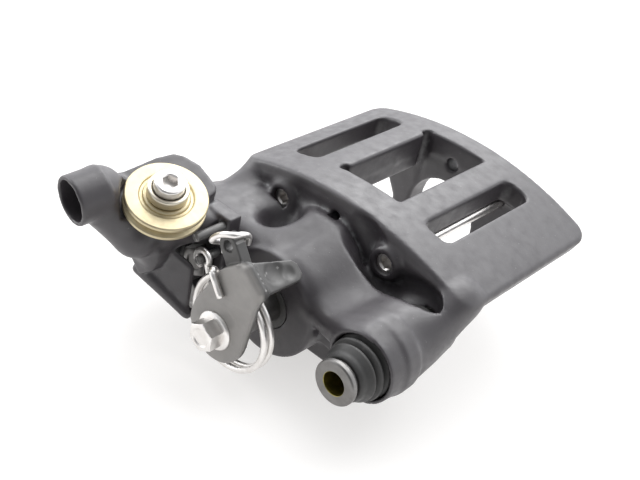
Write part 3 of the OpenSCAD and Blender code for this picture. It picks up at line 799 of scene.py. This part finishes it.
def handbrake_lever():
    """The pressed plate, the strip folded back from its edge, and the arm that takes the cable."""
    front, back = LEVER_Y
    c = Casting((-19, -82, 12), (31, -48, 80), 0.4)
    fold = Matrix.Translation((0, 0, AXIS_Z)) @ Matrix.Rotation(FOLD_TURN, 4, "Y")
    arm = Matrix.Translation((ARM_AT[0], 0, ARM_AT[1])) @ Matrix.Rotation(ARM_TURN, 4, "Y")
    c.add(drum(0, AXIS_Z, 15, front, back, e=0.7), 0.5)
    outline = [(-14.6, 27), (-13.4, 37), (-2.2, 59), (0, 61.6), (7.6, 67.6), (10, 67), (20.1, 59.5),
               (17.8, 51.4), (14.6, 29)]
    c.add(plate(outline, front, back, 0.7, 0.4), 0.6)
    strip = [(-15.6, -78), (-1.6, -78), (-1, -54.8), (-2.8, -52.4), (-7.4, -52.4), (-9.6, -54.2),
             (-15.6, -74.5)]
    c.add(placed(slab(strip, 31.2, 35.2, 0.8, 0.4), fold), 1.5)
    c.cut(placed(past_bend(front, 34.6, 4.5), fold), 0.5)
    c.add(placed(taper((-13.4, -75.1, 33.6), (-3.4, -75.1, 33.6), 3.1, 3.1), fold), 1.6)
    c.cut(placed(egg((-8.2, -65, 36.2), (5.4, 5.6, 2.6)), fold), 0.8)
    c.cut(placed(egg((-5.6, -58.6, 36), (3.2, 3.4, 1.8)), fold), 0.8)
    c.add(placed(plate([(-4.6, 1.9), (4.6, 1.9), (4.6, 16), (-4.6, 16)], -75, -69.5, 0.6, 0.4), arm), 0.8)
    c.add(placed(drum(0, 16, 5, -75, -69.5, e=0.6), arm), 0.3)
    c.cut(placed(drum(0, 16, 2.5, -80, -66), arm), 0.5)
    c.cut(drum(0, AXIS_Z, 4.2, -80, -70), 0.4)
    settle(c.mesh("lever_plate"), "lever", "lever_black", "handbrake_lever")


# ---------------------------------------------------------------- turned pieces
def hex_head(across, y0, y1, bevel):
    """Rings of a hexagonal head whose outer corners are bevelled at y0."""
    flat = across / 2
    rings = [(flat - bevel, y0)]
    for step in (0.25, 0.5, 0.75, 1.0):
        cone = flat - bevel + step * (bevel + 1.1)
        rings.append((np.minimum(hexagon(across), cone), y0 + step * bevel * 1.1))
    return rings + [(hexagon(across), y1)]


def lever_bolt():
    """A hexagonal head on a flange, with a shallow dish on top."""
    front = LEVER_Y[0]
    rings = [(0.01, front - 8.1), (3.6, front - 8.1), (4.3, front - 8.6)]
    rings += hex_head(12, front - 8.6, front - 1.9, 0.5)
    flange = [(6.9, front - 1.8), (8.3, front - 1.3), (8.9, front - 0.7), (8.9, front), (3.95, front)]
    rings += eased(flange + [(3.95, -57.5), (3.4, -57), (0.01, -57)], 0.3)
    bolt = turned("lever_bolt_zinc", rings)
    settle(bolt, "lever", "zinc_steel", "lever_bolt", at=along_y(0, AXIS_Z))


def pad_pins():
    """Two long pins with socket heads."""
    for side, name in ((-1, "left"), (1, "right")):
        rings = [(0.01, -6), (hexagon(5), -6), (hexagon(5), -10.2), (3.2, -10.9)]
        outside = [(3.3, -11), (4.65, -11), (4.65, -2), (2.2, -2), (2.2, 87.4), (1.6, 88), (0.01, 88)]
        rings += eased(outside, 0.3)
        pin = turned("pad_pin_" + name + "_zinc", rings)
        at = along_y(side * PAD_PIN[0], PAD_PIN[1])
        settle(pin, "housing", "zinc_steel", "pad_pin_" + name, at=at)


def guide_sleeves():
    """Turned steel sleeves whose bolt holes keep their olive passivation."""
    bore_r = 5.25
    profile = [(bore_r, -70), (9.4, -70), (10, -69.4), (10, -67.4), (8.8, -67), (8.8, -65.4), (8, -65.4),
               (8, -4.6), (7.4, -4), (bore_r, -4)]
    for side, name in ((-1, "left"), (1, "right")):
        sleeve = turned("guide_sleeve_" + name + "_steel", eased(profile, 0.35, closed=True), closed=True)
        at = along_y(side * GUIDE[0], GUIDE[1])
        settle(sleeve, "guide_" + name, "machined_steel", "guide_sleeve_" + name, at=at)
        sleeve.data.materials.append(MATERIALS["passivated"])
        for face in sleeve.data.polygons:
            if math.hypot(face.center.x, face.center.y) < (bore_r + 0.15) * MM:
                face.material_index = 1


def guide_boots():
    """Bellows between each lug and its sleeve."""
    y = LUG_FRONT
    profile = [(8.3, y - 22.3), (9.9, y - 22.3), (10.6, y - 21.2), (11, y - 19.6), (12.6, y - 16.8),
               (12.6, y - 15.8), (10.9, y - 15), (13.5, y - 13.9), (13.8, y - 13), (13.5, y - 12.1),
               (10.9, y - 10.8), (14.1, y - 9.4), (14.4, y - 7.6), (14.4, y), (9.6, y), (9.6, y - 3),
               (8.3, y - 5)]
    for side, name in ((-1, "left"), (1, "right")):
        boot = turned("guide_boot_" + name + "_rubber", eased(profile, 0.55, closed=True), closed=True)
        settle(boot, "housing", "rubber", "guide_boot_" + name, at=along_y(side * GUIDE[0], GUIDE[1]))
        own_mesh(boot)


def piston_dust_boot():
    """The piston's rubber dust boot, baked in place in the cylinder's boot seat."""
    profile = [(20.25, 4.15), (22.4, 4.15), (22.4, 7.4), (21.9, 8.6), (21.3, 9.5), (20.4, 10), (19.8, 11.2),
               (19.4, 11.95), (17.85, 11.95), (17.85, 10.3), (19.25, 10.2), (19.4, 9.2), (20.1, 8),
               (20.25, 7)]
    boot = turned("piston_boot_rubber", eased(profile, 0.3, closed=True), closed=True)
    boot.matrix_world = along_y(0, AXIS_Z)
    boot.data.materials.append(MATERIALS["rubber"])
    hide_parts("piston_dust_boot")
    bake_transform(boot)


def spindle_washer():
    """The conical washer that sends the spindle back."""
    profile = [(9.6, -24.9), (10.4, -24.9), (16.2, -23.2), (16.2, -22.5), (15.4, -22.5), (9.6, -24.3)]
    washer = turned("spindle_spring_steel", eased(profile, 0.15, closed=True), closed=True)
    settle(washer, "housing", "machined_steel", "spindle_spring", at=along_y(0, AXIS_Z))
    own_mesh(washer)


def bleed_fittings():
    """The bleed screw, drilled through, and its cap."""
    place = ((-FOOT_HALF - 2) * MM, BLEED[0] * MM, BLEED[1] * MM)
    at = Matrix.Translation(place) @ Matrix.Rotation(math.radians(-90), 4, "Y")
    rings = [(1, -8.9), (2.5, -8.9), (2.9, -8.4), (2.9, 0.6)] + hex_head(9, 0.6, 3, 0.4)
    rings += [(hexagon(9), 5.1), (4.2, 5.5), (3, 5.6), (3, 11.4), (2.6, 11.9), (1, 11.9)]
    screw = turned("bleed_screw_zinc", rings, closed=True)
    settle(screw, "housing", "zinc_steel", "bleed_screw", at=at)
    outside = [(3.05, 6.1), (4.6, 6.1), (4.6, 7.6), (4.0, 8.2), (4.0, 11.6), (4.5, 12.2), (4.2, 13.6),
               (2.4, 14), (0.01, 14)]
    rings = eased(outside, 0.35) + [(0.01, 12.1), (3.05, 12.1)]
    cap = turned("bleed_cap_rubber", rings, closed=True)
    settle(cap, "housing", "rubber", "bleed_cap", at=at)


def bracket_fixings():
    """The pins and bolts in the cable bracket's foot."""
    for node, place, y0 in (("spring_pin", SPRING_PIN, -68), ("stop_pin", STOP_PIN, -72)):
        rings = eased([(0.01, y0), (1.95, y0), (1.95, -49.6), (0.01, -49.6)], 0.5)
        pin = turned(node + "_zinc", rings)
        settle(pin, "housing", "zinc_steel", node, material="lever_black", at=along_y(*place))
    for i, (x, z) in enumerate(BRACKET_BOLTS):
        rings = [(0.01, -61), (3.5, -61), (4.2, -61.5)] + hex_head(13, -61.5, -56.2, 0.6)
        rings += eased([(6.4, -56), (3.95, -56), (3.95, -32.4), (3.4, -32), (0.01, -32)], 0.3)
        bolt = turned(f"bracket_bolt_{i + 1}", rings)
        settle(bolt, "housing", "machined_steel", "bracket_bolts", at=along_y(x, z))


def cable_pulley():
    """The grooved pulley, the cup washer on it and the socket screw through both."""
    at = pulley_frame()
    rim = [(7.05, -7.5), (16.8, -7.5), (17.5, -6.9), (17.5, -5.5), (15.6, -4.6), (14.7, -3.9), (14.7, -2.9),
           (15.6, -2.1), (17.5, -1.7), (17.5, -0.5), (17, 0), (11.9, 0), (11.5, -0.15), (11.2, -0.9),
           (10, -0.9), (9.7, 0), (9.1, 0.4), (7.05, 0.4)]
    pulley = turned("pulley_turned", eased(rim, 0.25, closed=True), closed=True)
    settle(pulley, "pulley", "yellow_zinc", "pulley", at=at)
    cup = [(4.05, 0.7), (8, 0.7), (8.7, 1.4), (8.7, 5), (8.2, 5.6), (7.3, 5.6), (6.9, 5.2), (6.75, 3.6),
           (4.05, 3.6)]
    washer = turned("pulley_cup_washer", eased(cup, 0.3, closed=True), closed=True)
    settle(washer, "housing", "yellow_zinc", "pulley_washer", material="pale_zinc", at=at)
    head = [(3.9, 9.6), (5.8, 9.6), (6.5, 9), (6.5, 3.6), (4, 3.6)]
    rings = [(0.01, 5.5), (hexagon(6), 5.7), (hexagon(6), 9.1), (3.8, 9.58)]
    rings += eased(head + [(4, -25.5), (3.4, -26), (0.01, -26)], 0.3)
    screw = turned("pulley_screw_zinc", rings)
    # Its mesh is turned, not the object, so that its bounding box is no larger than it is
    screw.data.transform(at)
    settle(screw, "housing", "zinc_steel", "pulley_screw")


# ---------------------------------------------------------------- wires
def return_spring():
    """A tail hooked over the lever, two turns round the axis, and an eye round the spring's pin."""
    first, last, coil_r, eye_r, turns = -18, 672, 21.3, 3.7, []
    for a in np.arange(first, last, 15):
        turn = math.radians(a)
        y = -72.6 + 7.6 * (a - first) / (last - first)
        turns.append((coil_r * math.sin(turn), y, AXIS_Z + coil_r * math.cos(turn)))
    tail = [(1.6, -80.05, 48.5), (-1.4, -80.05, 52.5), (-4.6, -80.1, 57.2), (-7.9, -76.5, 55.8),
            (-8.6, -73, 52.2)]
    x, z = SPRING_PIN
    eye = [(x + eye_r * math.cos(a), -64.6, z + eye_r * math.sin(a)) for a in np.radians(range(-30, 271, 30))]
    spring = wire("return_spring_wire", tail + turns + eye, 1.45, per_span=3)
    spring.data.materials.append(MATERIALS["zinc_steel"])
    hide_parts("return_spring")
    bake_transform(spring)


def cable_clip():
    """The wire hook round the tip of the lever's arm."""
    points = [(-11.6, -67, 58), (-12.2, -68, 63), (-11.4, -75.6, 67.4), (-8.6, -76.6, 71.6),
              (-4.4, -76.6, 74.8), (-0.4, -75, 76), (0.6, -71.6, 75.6), (0.2, -67.4, 73), (0, -67, 69)]
    settle(wire("cable_clip_wire", points, 1.3, per_span=8), "lever", "zinc_steel", "cable_clip")


# ---------------------------------------------------------------- stage
def scene_camera():
    """The camera: azimuth and elevation round the caliper, and a tilted horizon."""
    azimuth, elevation, roll = math.radians(35.3), math.radians(33.2), math.radians(12)
    target, distance = Vector((-0.045, 0.045, 0.0013)), 0.5761
    reach, height = math.cos(elevation), math.sin(elevation)
    back = Vector((math.sin(azimuth) * reach, -math.cos(azimuth) * reach, height))
    level = Vector((math.cos(azimuth), math.sin(azimuth), 0))
    up = back.cross(level)
    right = level * math.cos(roll) + up * math.sin(roll)
    up = back.cross(right)
    data = bpy.data.cameras.new("camera")
    data.lens, data.sensor_width, data.clip_start = 61.875, 36, 0.01
    camera = bpy.data.objects.new("camera", data)
    bpy.context.scene.collection.objects.link(camera)
    facing = Matrix((right, up, back)).transposed().to_4x4()
    camera.matrix_world = Matrix.Translation(target + back * distance) @ facing
    bpy.context.scene.camera = camera


def area_light(name, at, towards, size, power):
    """A soft rectangular light that shines from one point towards another."""
    data = bpy.data.lights.new(name, "AREA")
    data.shape, data.size, data.size_y, data.energy = "RECTANGLE", size[0], size[1], power
    light = bpy.data.objects.new(name, data)
    light.location = at
    light.rotation_mode = "QUATERNION"
    light.rotation_quaternion = (Vector(towards) - Vector(at)).to_track_quat("-Z", "Y")
    bpy.context.scene.collection.objects.link(light)


def pale_floor():
    """A white floor that glows a little, so that shadows on it stay faint."""
    floor = mesh_object("floor", [(-3, -3, 0), (3, -3, 0), (3, 3, 0), (-3, 3, 0)], [(0, 1, 2, 3)])
    glow = (1, 0.985, 0.97, 1)
    look = Look("floor", Roughness=0.7, Specular_IOR_Level=0.2, Emission_Color=glow, Emission_Strength=0.62)
    look.colour(look.mix(look.noise(400, 2), grey(0.40, 0.01), grey(0.44, 0.01)))
    floor.data.materials.append(look.material)


def soft_surroundings():
    """Pale walls all round, which are darker on the camera's side."""
    dark_side = Vector((0.55, -0.75, 0.35)).normalized()
    world = bpy.data.worlds.new("world")
    bpy.context.scene.world = world
    world.use_nodes = True
    sky = world.node_tree
    facing = sky.nodes.new("ShaderNodeVectorMath")
    facing.operation = "DOT_PRODUCT"
    sky.links.new(sky.nodes.new("ShaderNodeTexCoord").outputs["Generated"], facing.inputs[0])
    facing.inputs[1].default_value = dark_side
    fade = sky.nodes.new("ShaderNodeMapRange")
    sky.links.new(facing.outputs["Value"], fade.inputs["Value"])
    for socket, value in (("From Min", -0.45), ("From Max", 0.9), ("To Min", 2.1), ("To Max", 0.24)):
        fade.inputs[socket].default_value = value
    background = sky.nodes["Background"]
    sky.links.new(fade.outputs["Result"], background.inputs["Strength"])
    background.inputs["Color"].default_value = (0.97, 0.98, 1, 1)


def studio():
    """The floor, the surroundings and three soft lights."""
    pale_floor()
    soft_surroundings()
    area_light("overhead", at=(-0.1, 0.45, 0.9), towards=(0, 0, 0), size=(1.1, 0.8), power=7)
    area_light("rim", at=(-0.5, 0.9, 0.75), towards=(0, 0, 0.04), size=(0.6, 0.35), power=2.5)
    area_light("left", at=(-0.9, -0.3, 0.5), towards=(0, 0, 0.03), size=(0.5, 0.5), power=3)
    bpy.context.scene.view_settings.view_transform = "Standard"


# ---------------------------------------------------------------- the CAD nodes that stay
def dress_nodes():
    """Gives each CAD node that still shows the material of its slot."""
    slots = {part["node"]: part["material_slot"] for part in frame["record"]["subparts"]}
    for name, node in frame["nodes"].items():
        if not node.hide_render:
            node.data.materials.clear()
            node.data.materials.append(MATERIALS[slots[name]])


scene_camera()
studio()
caliper_housing()
cable_bracket()
handbrake_lever()
lever_bolt()
return_spring()
cable_clip()
cable_pulley()
bracket_fixings()
pad_pins()
guide_sleeves()
guide_boots()
piston_dust_boot()
spindle_washer()
bleed_fittings()
dress_nodes()
